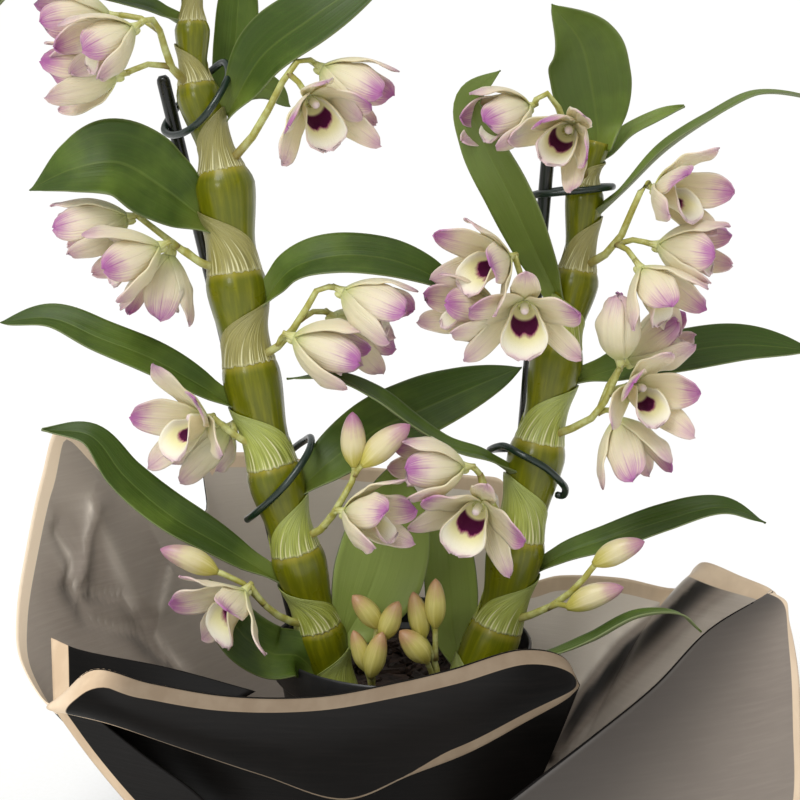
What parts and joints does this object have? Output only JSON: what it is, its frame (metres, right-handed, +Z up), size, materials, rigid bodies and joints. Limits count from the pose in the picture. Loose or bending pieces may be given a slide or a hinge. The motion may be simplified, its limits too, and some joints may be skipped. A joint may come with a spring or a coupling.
{
  "type": "dendrobium orchid",
  "caption": "Potted dendrobium orchid with leaning leafy canes, staked and clipped, half-open blooms with darker tips, in a nursery pot wrapped in folded two-tone paper.",
  "frame": {"origin": "middle of the round base of the wrap, where it rests on the floor", "axes": "+Z up along the plant, -Y to its front, +X to the right as seen from the front"},
  "size_m": [0.3613, 0.2014, 0.4319],
  "materials": {
    "cane": "gloss",
    "leaf": "satin",
    "bloom": "satin",
    "stake": "gloss",
    "wire": "gloss",
    "pot": "satin",
    "bark": "matte",
    "paper": "satin"
  },
  "bodies": {
    "root": {"pot": "pot", "cane_left": "cane", "cane_right": "cane", "stake_left": "stake", "stake_right": "stake", "clip_right_top": "wire", "clip_right_low": "wire", "clip_left_low": "wire", "clip_left_top": "wire", "wrap": "paper", "leaf_left_1": "leaf", "leaf_left_2": "leaf", "leaf_left_3": "leaf", "leaf_left_4": "leaf", "leaf_left_5": "leaf", "leaf_left_6": "leaf", "leaf_left_7": "leaf", "leaf_left_8": "leaf", "leaf_left_9": "leaf", "leaf_left_10": "leaf", "leaf_left_11": "leaf", "leaf_left_12": "leaf", "leaf_right_1": "leaf", "leaf_right_2": "leaf", "leaf_right_3": "leaf", "leaf_right_4": "leaf", "leaf_right_5": "leaf", "leaf_right_6": "leaf", "leaf_right_7": "leaf", "leaf_right_8": "leaf", "leaf_right_9": "leaf", "spray_left_top": "bloom", "spray_left_upper": "bloom", "spray_left_middle": "bloom", "spray_left_inner": "bloom", "spray_left_lower": "bloom", "spray_left_foot": "bloom", "spray_centre": "bloom", "spray_young_left": "bloom", "spray_young_right": "bloom", "spray_right_top": "bloom", "spray_right_upper": "bloom", "spray_right_middle": "bloom", "spray_right_inner": "bloom", "spray_right_lower": "bloom", "spray_right_foot": "bloom", "bark": "bark"}
  },
  "joints": []
}
